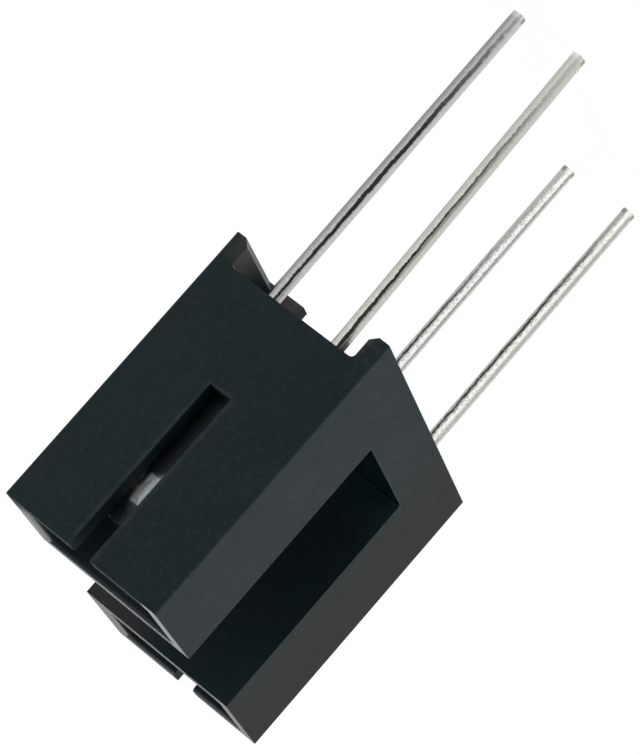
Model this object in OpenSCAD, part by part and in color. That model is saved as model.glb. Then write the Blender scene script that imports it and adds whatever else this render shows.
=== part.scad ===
// Slotted optical switch: a black moulded fork that holds an infrared emitter and a detector,
// one in each tower, facing each other across the gap.
// Millimetres. The seating plane of the rails is Z = 0, with the footprint centred on the origin.
// The towers rise along +Z and stand apart along X, and the leads run down through the board.

/* [Housing] */
// Length across both towers
body_l = 13.6; // [13:0.1:18]
// Width of the housing along the gap
body_w = 6; // [5.6:0.1:9]
// Height from the seating plane to the tower tips
body_h = 10.2; // [9.8:0.1:14]
// Width of the gap between the towers
gap_w = 5; // [3:0.1:5.6]
// Depth of the gap from the tower tips
gap_depth = 8.2; // [5:0.1:8.6]
// Fillet at the two floor corners of the gap
gap_fillet = 0.1; // [0.05:0.05:0.8]
// Rounding of the four upright corners
edge_r = 0.12; // [0.05:0.01:0.4]

/* [Tower cavities] */
// Thickness of the slotted outer wall
outer_wall = 0.65; // [0.5:0.05:1]
// Thickness of the wall beside the gap
inner_wall = 0.7; // [0.4:0.05:1]
// Thickness of the two side walls
side_wall = 0.55; // [0.4:0.05:0.9]
// Corner radius of the cavity
cavity_r = 0.2; // [0.1:0.05:0.5]
// Height of the cavity floor above the seating plane
cavity_floor = 3.05; // [2.8:0.05:3.4]
// Sloped lead-in round the mouth of the cavity
mouth_chamfer = 0.1; // [0.05:0.01:0.2]

/* [Windows] */
// Width of the slot in each outer wall, open at the tip
slot_w = 0.82; // [0.5:0.02:1.6]
// Height of the closed end of that slot
slot_end = 4.05; // [3.5:0.05:8]
// Height of the optical axis above the seating plane
optical_z = 7.5; // [6.8:0.1:7.7]
// Width of the aperture slit in each inner wall
aperture_w = 0.5; // [0.3:0.05:1.5]
// Height of the aperture slit
aperture_h = 2; // [1:0.1:2.4]

/* [Base] */
// Height of the two rails that stand on the board
rail_h = 0.95; // [0.5:0.05:1.3]
// Width of each rail
rail_w = 0.6; // [0.45:0.05:1]
// Chamfer on the inner foot of each rail
rail_chamfer = 0.22; // [0.05:0.01:0.35]
// Fillet where the rails meet the underside
channel_fillet = 0.15; // [0.05:0.05:0.3]
// Distance of the ribs between the rails from the face of the gap
rib_set = 0.5; // [0:0.05:0.9]
// Thickness of the ribs
rib_t = 0.5; // [0.4:0.05:0.9]
// Opening left between two facing ribs
rib_gap = 2.44; // [1.6:0.02:4]

/* [Leads] */
// Distance between the two leads of one tower
lead_pitch = 2.54; // [2.1:0.01:3]
// Width of a lead
lead_w = 0.42; // [0.35:0.01:0.6]
// Thickness of the lead sheet
lead_t = 0.42; // [0.35:0.01:0.55]
// Rounding of the long edges of the tinned leads
lead_r = 0.12; // [0.05:0.01:0.15]
// Length of the leads below the seating plane
lead_l = 10.65; // [3:0.05:16]
// Angle in degrees by which the emitter's cathode lead leans to its neighbour below the housing
lead_lean = 1.5; // [0.2:0.1:2]
// Angle in degrees by which the emitter's anode lead leans to the same side
anode_lean = 0.5; // [0.2:0.1:1]
// Radius of the slight bend where a lead starts to lean
lean_bend_r = 2; // [0.5:0.5:5]
// Clearance round a lead in its passage
lead_clear = 0.1; // [0.05:0.01:0.2]

/* [Cast packages] */
// Height of each cast body
pack_h = 5.7; // [5.4:0.1:6.8]
// Clearance between a cast body and the cavity walls
pack_clear = 0.12; // [0.05:0.01:0.25]
// Rounding of the upright corners of a cast body
pack_r = 0.15; // [0.05:0.05:0.4]
// Depth of cast resin behind the leads
back_cover = 0.355; // [0.25:0.005:0.6]
// Diameter of the lens at its base
lens_d = 1.8; // [1.2:0.1:2.2]
// Height of the lens
lens_h = 0.6; // [0.4:0.05:0.8]
// Gap between the lens and the inner wall
lens_clear = 0.15; // [0.05:0.05:0.35]

/* [Lead frames] */
// Width of the chip pad
pad_w = 0.75; // [0.7:0.05:1.2]
// Height of the chip pad
pad_h = 1; // [0.85:0.05:1.4]
// Height of the bridge between the pad and its lead
bridge_h = 0.5; // [0.3:0.05:0.8]
// Height of the wire post
post_h = 0.8; // [0.4:0.05:1.4]
// Gap between the pad and the wire post
frame_gap = 0.25; // [0.15:0.05:0.4]
// Width of the anchor shoulders that lock the leads in the resin
anchor_w = 0.8; // [0.6:0.05:1.2]
// Height of the anchor shoulders
anchor_h = 0.4; // [0.2:0.05:0.8]
// Height of the resin below the anchor shoulders
anchor_rise = 0.8; // [0.4:0.1:1.6]

/* [Chips and wires] */
// Width of the emitter chip
emitter_die_w = 0.34; // [0.25:0.01:0.6]
// Width of the detector chip
detector_die_w = 0.6; // [0.4:0.01:0.65]
// Thickness of the chips
die_t = 0.18; // [0.1:0.01:0.3]
// Thickness of the adhesive film under a chip
film_t = 0.03; // [0.02:0.01:0.06]
// Width by which the film shows round a chip
film_rim = 0.04; // [0.02:0.01:0.05]
// Diameter of the bond wires
wire_d = 0.05; // [0.03:0.01:0.08]
// Diameter of the bond at each end of a wire
ball_d = 0.12; // [0.1:0.01:0.16]
// Height of the bond at each end of a wire
ball_h = 0.05; // [0.03:0.01:0.08]

/* [Hidden] */
$fn = 48;

housing_black = "#25292c";
clear_resin = "#c3ccd2";
dark_resin = "#1b1a20";
tin_plate = "#c9c9c4";
chip_grey = "#4a4d57";
silver_film = "#d9d7cf";
bond_gold = "#d9a93c";

// Overshoot that carries a cut clear of a face
over = 0.5;

gap_floor = body_h - gap_depth;
tower_t = (body_l - gap_w) / 2;

// Depths into a tower are measured from its outer face towards the gap
cavity_back = outer_wall;
cavity_front = tower_t - inner_wall;
cavity_half = body_w / 2 - side_wall;
pack_back = cavity_back + pack_clear;
pack_front = cavity_front - lens_clear - lens_h;
pack_half = cavity_half - pack_clear;
lead_back = pack_back + back_cover;
lead_middle = lead_back + lead_t / 2;
lead_front = lead_back + lead_t;
die_back = lead_front + film_t;
die_front = die_back + die_t;
wire_base = die_front + ball_h;

lens_sphere_r = (pow(lens_d / 2, 2) + pow(lens_h, 2)) / (2 * lens_h);
lead_edge = lead_pitch / 2 + lead_w / 2;
post_edge = pad_w / 2 + frame_gap;
wire_span = (post_edge + lead_edge) / 2;

// Puts a tower's own frame, X into the tower from its outer face, at the emitter's end
module emitter_end() {
    translate([-body_l / 2, 0, 0]) children();
}

// The same frame at the detector's end, turned half round
module detector_end() {
    rotate([0, 0, 180]) emitter_end() children();
}

module rounded_rectangle(length, width, r) {
    square([length, width - 2 * r], center = true);
    square([length - 2 * r, width], center = true);
    for (x = [-1, 1], y = [-1, 1])
        translate([x * (length / 2 - r), y * (width / 2 - r)]) circle(r);
}

// Upright block with rounded corners between two depths into a tower
module tower_block(back, front, half, r, bottom, height) {
    translate([(back + front) / 2, 0, bottom])
        linear_extrude(height) rounded_rectangle(front - back, 2 * half, r);
}

// Raises an outline drawn in Y and Z into a plate that starts at a depth
module plate(depth, thickness) {
    translate([depth, 0, 0]) rotate([90, 0, 90]) linear_extrude(thickness) children();
}

// Housing

module fork_profile() {
    difference() {
        translate([-body_l / 2, 0]) square([body_l, body_h]);
        translate([-gap_w / 2, gap_floor + gap_fillet]) square([gap_w, gap_depth]);
        translate([gap_fillet - gap_w / 2, gap_floor]) square([gap_w - 2 * gap_fillet, gap_depth]);
        for (side = [-1, 1])
            translate([side * (gap_w / 2 - gap_fillet), gap_floor + gap_fillet]) circle(gap_fillet);
    }
}

module fork() {
    intersection() {
        linear_extrude(body_h) rounded_rectangle(body_l, body_w, edge_r);
        rotate([90, 0, 0]) linear_extrude(body_w, center = true) fork_profile();
    }
}

// Space between the rails, with filleted corners above and chamfered feet below
module channel_profile() {
    half = body_w / 2 - rail_w;
    foot = half + rail_chamfer;
    r = channel_fillet;
    translate([-half, rail_chamfer]) square([2 * half, rail_h - r - rail_chamfer]);
    translate([r - half, rail_chamfer]) square([2 * (half - r), rail_h - rail_chamfer]);
    for (side = [-1, 1])
        translate([side * (half - r), rail_h - r]) circle(r);
    polygon([
        [-half, rail_chamfer],
        [-foot, 0],
        [-foot, -over],
        [foot, -over],
        [foot, 0],
        [half, rail_chamfer],
    ]);
}

module ribs() {
    for (end = [0, 1], side = [0, 1])
        mirror([end, 0, 0])
            mirror([0, side, 0])
                translate([gap_w / 2 + rib_set, rib_gap / 2, 0])
                    cube([rib_t, (body_w - rib_gap) / 2, rail_h + over]);
}

module rail_channel() {
    difference() {
        plate(-body_l / 2 - over, body_l + 2 * over) channel_profile();
        ribs();
    }
}

module tower_cavity() {
    tower_block(
        cavity_back, cavity_front, cavity_half, cavity_r,
        cavity_floor, body_h - cavity_floor + over
    );
}

// Cross-section of the lead-in, which widens by as much as it rises
module mouth_profile(low, high) {
    flare = mouth_chamfer + over;
    polygon([
        [low, body_h - mouth_chamfer],
        [high, body_h - mouth_chamfer],
        [high + flare, body_h + over],
        [low - flare, body_h + over],
    ]);
}

module cavity_mouth() {
    intersection() {
        rotate([90, 0, 0])
            linear_extrude(2 * body_w, center = true) mouth_profile(cavity_back, cavity_front);
        plate(-over - mouth_chamfer, tower_t + 2 * over + 2 * mouth_chamfer)
            mouth_profile(-cavity_half, cavity_half);
    }
}

module outer_slot() {
    translate([-over, -slot_w / 2, slot_end])
        cube([over + (cavity_back + pack_back) / 2, slot_w, body_h - slot_end + over]);
}

module aperture() {
    translate([(pack_front + cavity_front) / 2, -aperture_w / 2, optical_z - aperture_h / 2])
        cube([tower_t, aperture_w, aperture_h]);
}

module lead_passages() {
    for (side = [-1, 1])
        translate([
            lead_back - lead_clear,
            side * lead_pitch / 2 - lead_w / 2 - lead_clear,
            rail_h - over,
        ])
            cube([lead_t + 2 * lead_clear, lead_w + 2 * lead_clear, cavity_floor - rail_h + 2 * over]);
}

module tower_cuts() {
    tower_cavity();
    cavity_mouth();
    outer_slot();
    aperture();
    lead_passages();
}

module housing() {
    color(housing_black)
        difference() {
            fork();
            rail_channel();
            emitter_end() tower_cuts();
            detector_end() tower_cuts();
        }
}

// Pieces of one opto package, in a tower's own frame

// Straight stretch of a tinned lead between two heights
module lead_bar(y, bottom, top) {
    translate([lead_middle, y, bottom])
        linear_extrude(top - bottom) rounded_rectangle(lead_t, lead_w, lead_r);
}

// Lead below the housing, bent by the lean angle towards -Y
module leaning_lead(lean) {
    turn_y = lead_pitch / 2 - lean_bend_r;
    tip = lean_bend_r * sin(lean) - lead_l;
    translate([lead_middle, turn_y, rail_h])
        rotate([-90, 0, 90])
            rotate_extrude(angle = lean)
                translate([lean_bend_r, 0]) rounded_rectangle(lead_w, lead_t, lead_r);
    translate([0, turn_y, rail_h])
        rotate([-lean, 0, 0])
            translate([0, -turn_y, -rail_h]) lead_bar(lead_pitch / 2, tip, rail_h);
}

module anchor(side) {
    translate([side * lead_pitch / 2 - anchor_w / 2, cavity_floor + anchor_rise])
        square([anchor_w, anchor_h]);
}

// Lead whose bridge reaches in to the chip pad on the optical axis
module pad_lead(lean = 0) {
    top = optical_z + bridge_h / 2;
    if (lean > 0) {
        lead_bar(lead_pitch / 2, rail_h, top);
        leaning_lead(lean);
    } else {
        lead_bar(lead_pitch / 2, -lead_l, top);
    }
    plate(lead_back, lead_t) {
        anchor(1);
        translate([0, optical_z - bridge_h / 2]) square([lead_edge, bridge_h]);
        translate([-pad_w / 2, optical_z - pad_h / 2]) square([pad_w, pad_h]);
    }
}

// Lead that ends in the flag where the bond wire lands
module post_lead(lean = 0) {
    if (lean > 0) {
        lead_bar(-lead_pitch / 2, rail_h, optical_z);
        translate([0, -lead_pitch, 0]) leaning_lead(lean);
    } else {
        lead_bar(-lead_pitch / 2, -lead_l, optical_z);
    }
    plate(lead_back, lead_t) {
        anchor(-1);
        translate([-lead_edge, optical_z - post_h / 2]) square([lead_edge - post_edge, post_h]);
    }
}

module chip(width) {
    translate([die_back, -width / 2, optical_z - width / 2]) cube([die_t, width, width]);
}

module chip_film(width) {
    film_w = width + 2 * film_rim;
    translate([lead_front, -film_w / 2, optical_z - film_w / 2]) cube([film_t, film_w, film_w]);
}

// Disc or wire that stands on a face and points towards the gap
module peg(depth, y, d, length) {
    translate([depth, y, optical_z]) rotate([0, 90, 0]) cylinder(d = d, h = length);
}

// Wire that rises from the chip, arches over and comes down on the post
module bond_wire() {
    peg(die_front, 0, ball_d, ball_h);
    peg(lead_front, -wire_span, ball_d, ball_h);
    peg(lead_front, -wire_span, wire_d, wire_base - lead_front);
    translate([wire_base, -wire_span / 2, optical_z])
        rotate([0, 0, -90])
            rotate_extrude(angle = 180)
                translate([wire_span / 2, 0]) circle(d = wire_d);
}

module lens() {
    root = lens_h / 2;
    translate([pack_front, 0, optical_z])
        rotate([0, 90, 0])
            rotate_extrude()
                intersection() {
                    translate([0, lens_h - lens_sphere_r]) circle(lens_sphere_r);
                    translate([0, -root]) square([lens_d / 2, root + lens_h]);
                }
}

module cast_body() {
    tower_block(pack_back, pack_front, pack_half, pack_r, cavity_floor, pack_h);
    lens();
}

// Resin cast round its leads, chip and wire
module package(die_w, pad_lean = 0, post_lean = 0) {
    difference() {
        cast_body();
        pad_lead(pad_lean);
        post_lead(post_lean);
        chip_film(die_w);
        chip(die_w);
        bond_wire();
    }
}

// Emitter

module emitter_package() {
    color(clear_resin) emitter_end() package(emitter_die_w, lead_lean, anode_lean);
}

module emitter_cathode_lead() {
    color(tin_plate) emitter_end() pad_lead(lead_lean);
}

module emitter_anode_lead() {
    color(tin_plate) emitter_end() post_lead(anode_lean);
}

module emitter_die() {
    color(chip_grey) emitter_end() chip(emitter_die_w);
}

module emitter_die_bond() {
    color(silver_film) emitter_end() chip_film(emitter_die_w);
}

module emitter_bond_wire() {
    color(bond_gold) emitter_end() bond_wire();
}

// Detector

module detector_package() {
    color(dark_resin) detector_end() package(detector_die_w);
}

module detector_collector_lead() {
    color(tin_plate) detector_end() pad_lead();
}

module detector_emitter_lead() {
    color(tin_plate) detector_end() post_lead();
}

module detector_die() {
    color(chip_grey) detector_end() chip(detector_die_w);
}

module detector_die_bond() {
    color(silver_film) detector_end() chip_film(detector_die_w);
}

module detector_bond_wire() {
    color(bond_gold) detector_end() bond_wire();
}

housing();
emitter_package();
emitter_cathode_lead();
emitter_anode_lead();
emitter_die();
emitter_die_bond();
emitter_bond_wire();
detector_package();
detector_collector_lead();
detector_emitter_lead();
detector_die();
detector_die_bond();
detector_bond_wire();
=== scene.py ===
"""Slotted optical switch: finishes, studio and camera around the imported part."""

import math

import bmesh
import bpy
from mathutils import Matrix, Vector


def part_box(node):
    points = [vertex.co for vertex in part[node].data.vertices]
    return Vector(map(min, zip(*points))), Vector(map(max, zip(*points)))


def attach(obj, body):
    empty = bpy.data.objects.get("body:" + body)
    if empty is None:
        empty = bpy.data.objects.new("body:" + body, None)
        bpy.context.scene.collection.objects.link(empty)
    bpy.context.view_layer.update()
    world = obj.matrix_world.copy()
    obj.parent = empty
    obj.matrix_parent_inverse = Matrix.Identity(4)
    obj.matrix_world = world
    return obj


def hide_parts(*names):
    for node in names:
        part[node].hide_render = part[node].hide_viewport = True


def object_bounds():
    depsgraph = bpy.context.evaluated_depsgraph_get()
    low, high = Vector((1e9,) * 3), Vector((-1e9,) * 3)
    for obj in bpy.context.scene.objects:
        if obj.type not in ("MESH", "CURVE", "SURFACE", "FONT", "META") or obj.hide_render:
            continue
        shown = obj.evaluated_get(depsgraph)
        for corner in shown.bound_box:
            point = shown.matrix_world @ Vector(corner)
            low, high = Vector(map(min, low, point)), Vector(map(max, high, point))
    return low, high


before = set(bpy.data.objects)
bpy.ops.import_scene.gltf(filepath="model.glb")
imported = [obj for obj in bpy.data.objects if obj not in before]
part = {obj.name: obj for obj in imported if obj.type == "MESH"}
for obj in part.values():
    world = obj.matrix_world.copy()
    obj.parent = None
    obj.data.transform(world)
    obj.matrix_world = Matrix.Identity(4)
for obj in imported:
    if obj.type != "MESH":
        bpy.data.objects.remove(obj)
cad_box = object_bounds()

MM = 0.001
MICRON = 0.000001

# Housing in millimetres: half length, top of the towers, half width and floor of the gap
BODY_END, BODY_TOP, GAP_SIDE, GAP_FLOOR = 6.8, 10.2, 2.5, 2.0

# Slots of the outer walls in millimetres: half width, and height of the closed end
SLOT_SIDE, SLOT_END = 0.41, 4.05

# Leads in millimetres: side, half row distance, half pitch, start of a lean, lower end
LEAD, ROW, PITCH, LEAN_START, LEAD_END = 0.42, 10.93 / 2, 2.54 / 2, 0.95, -10.65

# Blacks of the moulding, from deep teal to blue grey
BLACKS = [
    (0.34, (0.0025, 0.0115, 0.0130)),
    (0.46, (0.0050, 0.0120, 0.0150)),
    (0.56, (0.0085, 0.0158, 0.0213)),
    (0.66, (0.0115, 0.0180, 0.0200)),
]
GREEN_CAST = (0.0068, 0.0152, 0.0142, 1)
BROWN_CAST = (0.0085, 0.0115, 0.0085, 1)
PALE_MOTTLE = (0.019, 0.025, 0.029, 1)

# Painted shade inside the gap and the slots, and painted light low on the gap's walls
GAP_PAINTED_SHADE = [(0.42, (0.0016, 0.0046, 0.0086)), (0.58, (0.0, 0.0072, 0.0074))]
LOW_WALL_PAINTED_LIGHT = (0.012, 0.037, 0.041, 1)

# Worn moulding and painted light, from the slots' rims with a painted highlight to painted
# highlights on edges
RIM_WEAR_AND_HIGHLIGHT = (0.030, 0.037, 0.043, 1)
SCUFF_AND_LIGHT = (0.042, 0.042, 0.041, 1)
PALE_LOW_RAIL = (0.085, 0.085, 0.083, 1)
PAINTED_HIGHLIGHT = (0.36, 0.36, 0.355, 1)

# Tin on the leads, and the dark of the painted reflection along them
DARK_REFLECTION = (0.012, 0.012, 0.011, 1)
PITTED_TIN = (0.15, 0.15, 0.14, 1)
CLEAN_TIN = (0.80, 0.80, 0.79, 1)
BRIGHT_TIN = (0.90, 0.90, 0.88, 1)


# Shader building


class Value:
    """A socket of a node tree. Arithmetic on values adds Math nodes to the same tree."""

    def __init__(self, tree, socket):
        self.tree, self.socket = tree, socket

    def _math(self, operation, a, b=0.0):
        made = self.tree.nodes.new("ShaderNodeMath")
        made.operation = operation
        connect(self.tree, made.inputs[0], a)
        connect(self.tree, made.inputs[1], b)
        return Value(self.tree, made.outputs[0])

    def __add__(self, other):
        return self._math("ADD", self, other)

    def __radd__(self, other):
        return self._math("ADD", other, self)

    def __sub__(self, other):
        return self._math("SUBTRACT", self, other)

    def __rsub__(self, other):
        return self._math("SUBTRACT", other, self)

    def __mul__(self, other):
        return self._math("MULTIPLY", self, other)

    def __rmul__(self, other):
        return self._math("MULTIPLY", other, self)

    def __truediv__(self, other):
        return self._math("DIVIDE", self, other)

    def __rtruediv__(self, other):
        return self._math("DIVIDE", other, self)

    def __abs__(self):
        return self._math("ABSOLUTE", self)

    def most(self, other):
        return self._math("MAXIMUM", self, other)


def connect(tree, socket, value):
    """Links a value to a socket, or sets the socket to a plain number or colour."""
    if isinstance(value, Value):
        tree.links.new(value.socket, socket)
    else:
        socket.default_value = value


class Finish:
    """A node tree for one finish, with one method that adds any node."""

    def __init__(self, owner):
        owner.use_nodes = True
        self.owner, self.tree = owner, owner.node_tree
        self.tree.nodes.clear()

    def node(self, kind, settings=None, sockets=None, out=0):
        """Adds a node, sets it up, fills its sockets and gives one of its outputs."""
        made = self.tree.nodes.new("ShaderNode" + kind)
        for key, value in (settings or {}).items():
            if key == "stops":
                ramp = made.color_ramp.elements
                while len(ramp) < len(value):
                    ramp.new(0.5)
                for element, (position, colour) in zip(ramp, value):
                    element.position, element.color = position, (*colour, 1)
            else:
                setattr(made, key, value)
        for key, value in (sockets or {}).items():
            connect(self.tree, made.inputs[key], value)
        return Value(self.tree, made.outputs[out]) if made.outputs else None

    def place(self, centre=(0, 0, 0), stretch=(1, 1, 1)):
        """Object coordinates in millimetres from a centre, stretched along the axes."""
        sockets = {
            "Vector": self.node("TexCoord", out="Object"),
            "Location": [-c * s for c, s in zip(centre, stretch)],
            "Scale": [s / MM for s in stretch],
        }
        return self.node("Mapping", {"vector_type": "POINT"}, sockets)

    def axes(self, vector):
        """The three parts of a vector."""
        return [self.node("SeparateXYZ", None, {"Vector": vector}, out=letter) for letter in "XYZ"]

    def noise(self, place, size, detail=2.0, rough=0.5, warp=0.0):
        """Cloudy values from 0 to 1 with features of about this size in millimetres."""
        sockets = {
            "Vector": place,
            "Scale": 1 / size,
            "Detail": detail,
            "Roughness": rough,
            "Distortion": warp,
        }
        return self.node("TexNoise", None, sockets)

    def ramp(self, value, stops):
        """A colour for each value."""
        return self.node("ValToRGB", {"stops": stops}, {"Fac": value})

    def span(self, value, low, high, bottom=0.0, top=1.0):
        """Stretches values between low and high to the range from bottom to top."""
        sockets = {
            "Value": value,
            "From Min": low,
            "From Max": high,
            "To Min": bottom,
            "To Max": top,
        }
        return self.node("MapRange", {"interpolation_type": "SMOOTHSTEP"}, sockets)

    def blend(self, factor, first, second):
        """Mixes two colours."""
        return self.node("Mix", {"data_type": "RGBA"}, {0: factor, 6: first, 7: second}, out=2)

    def veer(self, factor, first, second):
        """Mixes two directions."""
        return self.node("Mix", {"data_type": "VECTOR"}, {0: factor, 4: first, 5: second}, out=1)

    def bump(self, height, depth, normal=None):
        """A relief of this depth in metres."""
        sockets = {"Height": height, "Distance": depth, "Strength": 1.0}
        if normal is not None:
            sockets["Normal"] = normal
        return self.node("Bump", None, sockets)

    def surface(self, **sockets):
        """Closes the finish with a Principled shader."""
        named = {key.replace("_", " "): value for key, value in sockets.items()}
        shader = self.node("BsdfPrincipled", None, named)
        self.node("OutputMaterial", None, {"Surface": shader})
        return self.owner


def finish(name):
    """A new material to build a finish in."""
    return Finish(bpy.data.materials.new(name))


# Finishes


def moulded_black():
    """Satin black moulding: cloudy tone, grain, worn edges, painted light low on the rails' ends,
    painted shade in the gap and slots, painted highlights on the tower mouths, shinier tips.
    """
    f = finish("moulded_black_plastic")
    place = f.place()
    x, y, z = f.axes(place)
    facing = f.node("TexCoord", out="Normal")
    face_x, face_y, face_z = f.axes(facing)
    cloud = f.noise(place, 1.5, 3, 0.6, 0.8)
    blotch = f.noise(place, 0.42, 3, 0.6, 0.4)
    mottle = f.noise(place, 0.17, 2, 0.6)
    grain = f.noise(place, 0.05, 3, 0.6)

    # Places on the housing
    in_gap = 1 - f.span(abs(x), GAP_SIDE + 0.01, GAP_SIDE + 0.04)
    gap = in_gap * f.span(z, GAP_FLOOR - 0.1, GAP_FLOOR)
    level = f.span(face_z, 0.80, 0.95)
    gap_floor = gap * level
    # High in the gap towards -Y, where painted light falls
    lit_gap_top = gap * f.span(z, 8.6, 9.6) * f.span(y, 1.0, -1.5)
    tip = level * f.span(z, BODY_TOP - 1.2, BODY_TOP - 0.2)
    end_face = f.span(abs(face_x), 0.80, 0.95)
    inward = f.span(face_y * y, -0.5, -1.5)
    slot_sides = 1 - f.span(abs(y), SLOT_SIDE + 0.01, SLOT_SIDE + 0.03)
    below_face = 1 - f.span(abs(x), BODY_END - 0.05, BODY_END - 0.01)
    slot = slot_sides * below_face * f.span(abs(x), BODY_END - 0.8, BODY_END - 0.7)

    # Cloudy black with a green cast in patches and a brown one on the far tower's sides
    cool = f.ramp(cloud * 0.45 + blotch * 0.30 + mottle * 0.25 - y * 0.015, BLACKS)
    green = f.span(f.noise(place, 1.3, 2, 0.5, 0.5) - y * 0.045, 0.50, 0.66) * 0.7
    warm = f.span(x, -1.0, 5.0) * f.span(abs(face_y), 0.5, 0.9) * 0.8
    tone = f.blend(warm, f.blend(green, cool, GREEN_CAST), BROWN_CAST)
    mottled = f.blend(f.span(mottle, 0.50, 0.72) * 0.4, tone, PALE_MOTTLE)

    # Edges that look rounded outside the gap, and a crisp corner along its floor
    soft = f.node("Bevel", {"samples": 6}, {"Radius": 0.07 * MM})
    corner = gap * f.span(abs(face_x), 0.05, 0.15) * f.span(face_z, 0.02, 0.10)
    wall = f.node("CombineXYZ", None, {"X": x * (-1 / GAP_SIDE)})
    rounded = f.veer(gap, soft, f.veer(corner, facing, wall))
    turn = f.node("VectorMath", {"operation": "DOT_PRODUCT"}, {0: rounded, 1: facing}, out="Value")

    # Wear and a painted highlight round the slots' closed ends, wear on edges, dust, painted light
    # low on the end faces of the rails and high in the gap, and a paler band under the base
    rim = (
        end_face
        * f.span(abs(x), BODY_END - 0.10, BODY_END - 0.02)
        * f.span(abs(y), SLOT_SIDE + 0.19, SLOT_SIDE + 0.05)
        * f.span(z, SLOT_END - 0.17, SLOT_END - 0.03)
    )
    rimmed = f.blend(rim * f.span(blotch, 0.25, 0.60) * 0.6, mottled, RIM_WEAR_AND_HIGHLIGHT)
    edge = f.span(1 - turn + blotch * 0.05, 0.04, 0.30) * 0.5 * (1 - gap)
    feet = f.span(z, 1.1, 0.2) * end_face * f.span(blotch, 0.30, 0.60) * 0.7
    dust = f.span(f.noise(place, 0.14, 1), 0.75, 0.82) * 0.3
    scuffed_and_lit = f.blend(edge.most(feet).most(dust).most(lit_gap_top * 0.5), rimmed, SCUFF_AND_LIGHT)
    # Paler low on the rails' inner faces and the ribs' ends, fading as painted shade deeper into
    # the channel
    rails = inward * f.span(abs(x), 4.6, 6.4)
    ribs = end_face * f.span(abs(x), 3.60, 3.55)
    under = f.span(z, 1.0, 0.7) * rails.most(ribs) * f.span(blotch, 0.25, 0.55, 0.5, 1.0)
    worn = f.blend(under, scuffed_and_lit, PALE_LOW_RAIL)

    # Painted shade in the gap and the slots, less of it low on the gap's walls and high in the gap
    # towards -Y, and painted light low on the gap's walls and along the fillet at its floor
    deep = f.span(z, 5.5, 2.5) * (1 - gap_floor * 0.65)
    dim = (gap * (1 - lit_gap_top) * (0.65 - deep * 0.45)).most(slot * 0.3)
    dimmed = f.blend(dim, worn, f.ramp(cloud * 0.5 + blotch * 0.5, GAP_PAINTED_SHADE))
    low_wall = f.span(z, GAP_FLOOR + 1.8, GAP_FLOOR + 0.1)
    fillet = f.span(z, GAP_FLOOR + 0.20, GAP_FLOOR + 0.06)
    painted_light_low = gap * (low_wall + fillet) * 0.35 * (1 - gap_floor)
    shaded = f.blend(painted_light_low, dimmed, LOW_WALL_PAINTED_LIGHT)

    # Painted highlights on the lead-ins of the tower mouths, stronger on the far tower and on
    # slopes facing +Y, and painted light on the chamfers of the feet
    mouth = f.span(face_z, 0.40, 0.60) * f.span(z, BODY_TOP - 0.09, BODY_TOP - 0.04) * (1 - tip)
    mouth_highlight = f.span(x, -1.0, 1.0, 0.05, 0.22) + f.span(face_y, 0.3, 0.6) * 0.7
    foot = f.span(face_z, -0.45, -0.60) * f.span(face_z, -0.95, -0.80) * inward
    painted_highlights = mouth * mouth_highlight + foot * 0.35

    shine = f.span(y, 2.3, 2.5, f.span(x, -6.3, -5.5, -0.5, 0.15), 0.40)
    rough = 0.46 + blotch * 0.14 + grain * 0.08 + warm * 0.06
    return f.surface(
        Base_Color=f.blend(painted_highlights, shaded, PAINTED_HIGHLIGHT),
        Roughness=rough * (1 - tip * shine) * (1 - gap_floor * 0.75),
        IOR=1.5,
        Specular_IOR_Level=0.11,
        Normal=f.bump(grain * 0.7 + blotch * 1.5, 3 * MICRON, rounded),
    )


def clear_epoxy():
    """Clear cast resin, a little misty on its back and matt on its rounded edges."""
    f = finish("clear_cast_epoxy")
    place = f.place()
    ripple = f.noise(place, 0.7, 2, 0.5)
    face_x, face_y, face_z = f.axes(f.node("TexCoord", out="Normal"))
    flat = abs(face_x).most(abs(face_y)).most(abs(face_z))
    back = f.span(face_x, -0.95, -0.80, 1.0, 0.0)
    round_edge = f.span(flat, 0.990, 0.999, 0.5, 0.0)
    return f.surface(
        Base_Color=(0.66, 0.71, 0.74, 1),
        Roughness=0.08 + f.noise(place, 0.25, 2) * 0.10 + (back * 0.16).most(round_edge),
        IOR=1.53,
        Specular_Tint=(0.22, 0.29, 0.36, 1),
        Transmission_Weight=1.0,
        Normal=f.bump(ripple, 6 * MICRON),
    )


def dark_epoxy():
    """Dark infrared-passing resin, glossy, with a faint violet cloud."""
    f = finish("dark_cast_epoxy")
    place = f.place()
    cloud = f.noise(place, 0.9, 3, 0.55, 0.4)
    ripple = f.noise(place, 0.7, 2, 0.5)
    return f.surface(
        Base_Color=f.ramp(cloud, [(0.3, (0.010, 0.008, 0.013)), (0.7, (0.022, 0.017, 0.028))]),
        Roughness=0.10 + f.noise(place, 0.2, 2) * 0.12,
        IOR=1.53,
        Normal=f.bump(ripple, 6 * MICRON),
    )


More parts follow.
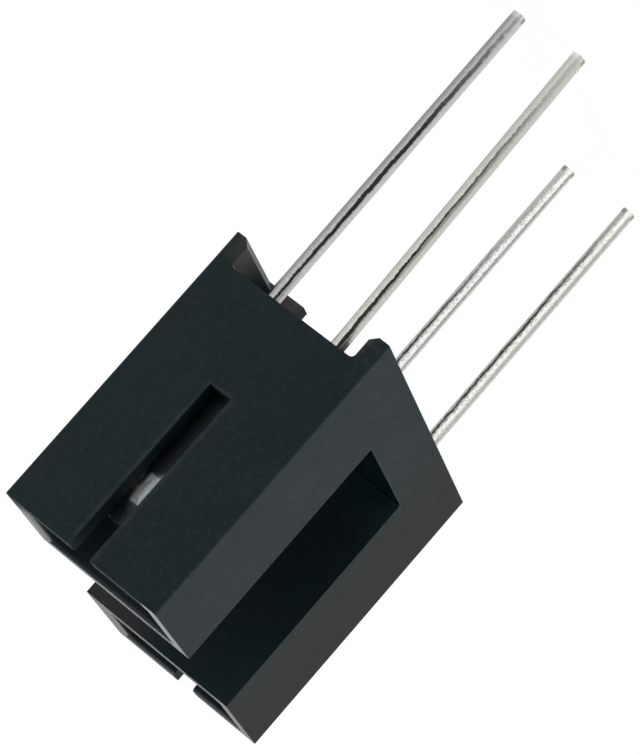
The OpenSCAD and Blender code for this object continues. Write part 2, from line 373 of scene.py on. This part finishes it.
def tinned_lead(name, axis, lean, reflection_bands, streak, width, near, soft, fade, depth, pits):
    """Dipped tin on a drawn lead: painted reflections as bands along it and as a dark streak where
    the metal is also duller, lines, pits and flecks.
    """
    f = finish("tin_plate_" + name)
    place = f.place(axis)
    x, y, z = f.axes(place)
    lines = f.noise(f.place(axis, (1, 1, 0.05)), 0.03, 2, 0.6)
    waver = f.noise(f.place(axis, (0.2, 0.2, 1)), 0.8, 3, 0.6)
    ripple = f.noise(place, 0.4, 3, 0.55)
    speck = f.noise(place, 0.035, 2, 0.6)
    blob = f.noise(f.place(axis, (1, 1, 0.6)), 0.065, 2, 0.6)

    # Painted reflections: bands across the lead's two outer faces, followed along its lean
    drift = (z - LEAN_START) * math.tan(math.radians(lean))
    across = (x + y - drift) / (2 * LEAD) + 0.5
    tone = f.ramp(across + (blob - 0.5) * (0.12 + pits * 0.25) + (waver - 0.5) * 0.04, reflection_bands)

    # Painted dark reflection along the lead, where the metal is also duller: a soft painted shade
    # round a dark core, stronger towards the housing
    strength = f.span(z, *fade)
    root = f.span(z, -4.0, 0.5)
    wander = (waver - 0.5) * (0.30 - strength * 0.16) + (blob - 0.5) * 0.10
    side = across - root * near[0] - streak + wander
    rise = f.span(side, -soft[0], -0.01)
    fall = f.span(side, strength * soft[1] + 0.03, 0.01)
    shade = rise * fall * (1 - root * 0.5) * 0.65
    whole = f.span(ripple + strength * 0.6, 0.70, 0.90)
    core = (1 - f.span(abs(side) - root * near[1] - width, -0.01, 0.025)) * whole
    dark = shade.most(core) * strength * depth
    dull_and_dark_reflection = dark * f.span(speck + ripple, 0.75, 1.05, 1.0, 0.96)

    # Pits that thin out towards the end, nipped corners and pale flecks there, clean metal inside
    dents = f.span(blob, 0.36, 0.48, pits, 0.0).most(f.span(speck, 0.32, 0.52, 0.35, 0.0))
    pitted = dents * f.span(z, LEAD_END - 0.35, LEAD_END + 2.65, 0.2, 1.0)
    corners = f.span(across, 0.58, 0.66).most(f.span(across, 0.26, 0.18, 0.0, pits * 2.5))
    nip = f.span(z, LEAD_END + 0.23, LEAD_END + 0.13) * corners * 0.8
    cut = f.span(z, LEAD_END + 0.25, LEAD_END + 0.05) * 0.6
    fleck = f.span(f.noise(place, 0.07, 2), 0.66, 0.74).most(cut) * (1 - nip) * 0.6
    plated = f.blend(f.span(z, 2.0, 2.6), tone, CLEAN_TIN)
    worn = f.blend(pitted.most(nip), plated, PITTED_TIN)
    bright = f.blend(fleck, worn, BRIGHT_TIN)
    return f.surface(
        Base_Color=f.blend(dull_and_dark_reflection, bright, DARK_REFLECTION),
        Metallic=1 - dull_and_dark_reflection * 0.1,
        Roughness=0.22 + lines * 0.14 + dull_and_dark_reflection * 0.3,
        Normal=f.bump(lines * 0.6 + ripple * 3, 6 * MICRON),
    )


def polished_chip(name, centre):
    """Polished semiconductor, duller towards its saw-cut edges."""
    f = finish("chip_" + name)
    place = f.place(centre)
    grain = f.noise(place, 0.05, 2)
    off_middle = f.node("SeparateXYZ", None, {"Vector": place}, out="Y")
    return f.surface(
        Base_Color=f.ramp(grain, [(0.3, (0.05, 0.055, 0.07)), (0.7, (0.10, 0.105, 0.12))]),
        Metallic=0.35,
        Roughness=0.12 + abs(off_middle) * 0.2 + grain * 0.1,
        Normal=f.bump(grain, 1 * MICRON),
    )


def silver_adhesive():
    """Cured adhesive full of silver flakes."""
    f = finish("silver_adhesive")
    place = f.place()
    flake_size = 0.012
    flake = f.node("TexVoronoi", None, {"Vector": place, "Scale": 1 / flake_size})
    return f.surface(
        Base_Color=f.ramp(flake, [(0.1, (0.45, 0.44, 0.41)), (0.6, (0.76, 0.75, 0.70))]),
        Metallic=0.8,
        Roughness=0.35 + flake * 0.25,
        Normal=f.bump(flake, 2 * MICRON),
    )


def drawn_gold():
    """Drawn gold wire, its colour darkened as painted shade."""
    f = finish("drawn_gold")
    place = f.place()
    lines = f.noise(place, 0.02, 2)
    return f.surface(
        Base_Color=f.ramp(lines, [(0.3, (0.34, 0.27, 0.15)), (0.7, (0.46, 0.37, 0.22))]),
        Metallic=1.0,
        Roughness=0.16 + lines * 0.15,
        Normal=f.bump(lines, 1 * MICRON),
    )


def dress(node, material):
    """Gives a CAD node its finish."""
    part[node].data.materials[0] = material


def middle(node):
    """The middle of a CAD node's box in millimetres."""
    low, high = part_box(node)
    return (low + high) / 2 / MM


def greys(blue_share, *stops):
    """Warm grey stops: a little less green than red, and this share of blue."""
    green_share = 0.988
    return [(place, (grey, grey * green_share, grey * blue_share)) for place, grey in stops]


# Finish of each lead. reflection_bands: painted reflections as greys across it. streak, width:
# place and half width of the painted dark reflection.
# near: change of both towards the housing. soft: softness on its two sides. fade: heights between
# which it grows to full strength. depth: how dark it is. pits: how deep the pits look.
LEADS = {
    "emitter_anode_lead": {
        "axis": (-ROW, -PITCH, 0),
        "lean": 0.5,
        "reflection_bands": greys(
            0.96, (0.10, 0.28), (0.16, 0.30), (0.21, 0.38), (0.27, 0.47),
            (0.36, 0.36), (0.46, 0.42), (0.55, 0.52), (0.80, 0.54),
        ),
        "streak": 0.395,
        "width": 0.085,
        "near": (0.0, -0.030),
        "soft": (0.15, 0.14),
        "fade": (-15.0, -5.0),
        "depth": 1.0,
        "pits": 0.0,
    },
    "emitter_cathode_lead": {
        "axis": (-ROW, PITCH, 0),
        "lean": 1.5,
        "reflection_bands": greys(
            0.925, (0.10, 0.50), (0.14, 0.48), (0.20, 0.53), (0.26, 0.60),
            (0.33, 0.52), (0.42, 0.47), (0.52, 0.50), (0.70, 0.54),
        ),
        "streak": 0.335,
        "width": 0.036,
        "near": (0.03, 0.04),
        "soft": (0.09, 0.26),
        "fade": (-15.0, -3.0),
        "depth": 1.0,
        "pits": 0.0,
    },
    "detector_collector_lead": {
        "axis": (ROW, -PITCH, 0),
        "lean": 0.0,
        "reflection_bands": greys(
            0.955, (0.09, 0.50), (0.14, 0.45), (0.20, 0.42), (0.256, 0.48), (0.30, 0.66),
            (0.345, 0.85), (0.39, 0.98), (0.445, 1.0), (0.49, 0.90), (0.54, 0.36),
            (0.62, 0.30), (0.72, 0.52), (0.83, 0.70),
        ),
        "streak": 0.180,
        "width": 0.036,
        "near": (0.0, 0.0),
        "soft": (0.085, 0.11),
        "fade": (-10.5, -3.0),
        "depth": 0.95,
        "pits": 0.4,
    },
    "detector_emitter_lead": {
        "axis": (ROW, PITCH, 0),
        "lean": 0.0,
        "reflection_bands": greys(
            0.94, (0.10, 0.52), (0.13, 0.42), (0.17, 0.40), (0.21, 0.44), (0.245, 0.48),
            (0.28, 0.68), (0.32, 0.90), (0.37, 1.0), (0.42, 0.96), (0.47, 0.66),
            (0.54, 0.38), (0.62, 0.40), (0.73, 0.54), (0.85, 0.68),
        ),
        "streak": 0.165,
        "width": 0.034,
        "near": (0.0, -0.01),
        "soft": (0.085, 0.10),
        "fade": (-12.5, -6.0),
        "depth": 0.95,
        "pits": 0.4,
    },
}
for lead, look in LEADS.items():
    dress(lead, tinned_lead(lead, **look))
silver, gold = silver_adhesive(), drawn_gold()
for end in ("emitter", "detector"):
    die = end + "_die"
    dress(die, polished_chip(die, middle(die)))
    dress(end + "_die_bond", silver)
    dress(end + "_bond_wire", gold)
dress("housing", moulded_black())
dress("detector_package", dark_epoxy())


# Clear package, cast solid round its leads

# Limits of the package's hollows in millimetres: towards the lens, to the sides, under the skin
LENS_ROOT, CAST_SIDE, SKIN = -4.0, 1.95, 0.06


def placed(bm, name):
    """Makes a finished bmesh an object of the scene."""
    mesh = bpy.data.meshes.new(name)
    bm.to_mesh(mesh)
    bm.free()
    piece = bpy.data.objects.new(name, mesh)
    bpy.context.scene.collection.objects.link(piece)
    return piece


def cast_resin(node, name):
    """The outer skin of a cast package, closed, so that light in it meets the metal directly."""
    low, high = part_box(node)
    skin = SKIN * MM
    bm = bmesh.new()
    bm.from_mesh(part[node].data)
    bmesh.ops.remove_doubles(bm, verts=bm.verts, dist=0.5 * MICRON)

    def buried(face):
        c = face.calc_center_median()
        return (
            low.x + skin < c.x < LENS_ROOT * MM
            and low.z + skin < c.z < high.z - skin
            and abs(c.y) < CAST_SIDE * MM
        )

    bmesh.ops.delete(bm, geom=[f for f in bm.faces if buried(f)], context="FACES")
    bmesh.ops.holes_fill(bm, edges=[e for e in bm.edges if e.is_boundary], sides=0)
    bmesh.ops.recalc_face_normals(bm, faces=bm.faces)
    for face in bm.faces:
        face.smooth = False
    return placed(bm, name)


resin = cast_resin("emitter_package", "emitter_resin")
resin.data.materials.append(clear_epoxy())
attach(resin, "root")
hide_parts("emitter_package")


# Studio

# Strength of the room where it is seen, and where it only lights the part
ROOM_SEEN, ROOM_LIGHT = 1.0, 0.3

# Floor: half of its side in metres, its glow, its paper
FLOOR_SIDE, FLOOR_GLOW, FLOOR_PAPER = 2.0, 1.06, (0.9, 0.9, 0.9, 1)

# Soft boxes: place and side in metres, power in watts
LAMPS = {
    "key_light": ((0.06, 0.33, 0.06), 0.25, 0.7),
    "fill_light": ((-0.32, -0.10, 0.12), 0.30, 0.35),
    "top_light": ((0.10, 0.05, 0.45), 0.35, 0.25),
    "back_light": ((0.28, -0.26, 0.16), 0.30, 0.5),
}


def seen(f):
    """1 for rays that come straight from the camera, from a gloss or through glass."""
    kinds = ("Camera", "Glossy", "Transmission")
    straight, gloss, glass = (f.node("LightPath", out=f"Is {kind} Ray") for kind in kinds)
    return straight.most(gloss).most(glass)


def white_room():
    """A world that shows white and lights the part softly."""
    world = bpy.data.worlds.new("white_room")
    bpy.context.scene.world = world
    f = Finish(world)
    strength = seen(f) * (ROOM_SEEN - ROOM_LIGHT) + ROOM_LIGHT
    shade = f.node("Background", None, {"Color": (1, 1, 1, 1), "Strength": strength})
    f.node("OutputWorld", None, {"Surface": shade})


def pale_floor(height):
    """A glowing white table under the lead tips that keeps a shadow and is clear from below."""
    bm = bmesh.new()
    lowered = Matrix.Translation((0, 0, height))
    bmesh.ops.create_grid(bm, x_segments=1, y_segments=1, size=FLOOR_SIDE, matrix=lowered)
    floor = placed(bm, "floor")
    f = finish("white_card")
    glow = f.node("Emission", None, {"Color": (1, 1, 1, 1), "Strength": FLOOR_GLOW})
    paper = f.node("BsdfDiffuse", None, {"Color": FLOOR_PAPER})
    away = f.node("VectorMath", {"operation": "LENGTH"}, {0: f.place()}, out="Value")
    plain = f.span(away, 60, 350) * 0.12
    top = f.node("MixShader", None, {0: seen(f) * (0.33 + plain) + 0.55, 1: paper, 2: glow})
    below = f.node("NewGeometry", out="Backfacing")
    clear = f.node("BsdfTransparent")
    shade = f.node("MixShader", None, {0: below, 1: top, 2: clear})
    f.node("OutputMaterial", None, {"Surface": shade})
    floor.data.materials.append(f.owner)


def soft_lamp(name, place, side, power):
    """A square soft box aimed at the part."""
    data = bpy.data.lights.new(name, "AREA")
    data.shape, data.size, data.energy = "SQUARE", side, power
    lamp = bpy.data.objects.new(name, data)
    lamp.location = place
    lamp.rotation_euler = (-Vector(place)).to_track_quat("-Z", "Y").to_euler()
    bpy.context.scene.collection.objects.link(lamp)


white_room()
pale_floor(cad_box[0].z)
for lamp_name, lamp_setting in LAMPS.items():
    soft_lamp(lamp_name, *lamp_setting)


# Camera at the photo's angle, fitted to the part's edges there

CAMERA_PLACE = Vector((-99.365, 40.604, 18.106)) * MM
CAMERA_LOOK = Vector((0.911305, -0.379773, -0.159046))
CAMERA_UP = Vector((-0.363885, -0.562150, -0.742681))
LENS, SENSOR = 169.67, 36

camera = bpy.data.objects.new("camera", bpy.data.cameras.new("camera"))
camera.data.lens, camera.data.sensor_width = LENS, SENSOR
camera.data.clip_start, camera.data.clip_end = 0.01, 20
turned = Matrix((CAMERA_LOOK.cross(CAMERA_UP), CAMERA_UP, -CAMERA_LOOK)).transposed()
camera.matrix_world = Matrix.Translation(CAMERA_PLACE) @ turned.to_4x4()
bpy.context.scene.collection.objects.link(camera)
bpy.context.scene.camera = camera
bpy.context.scene.view_settings.view_transform = "Standard"
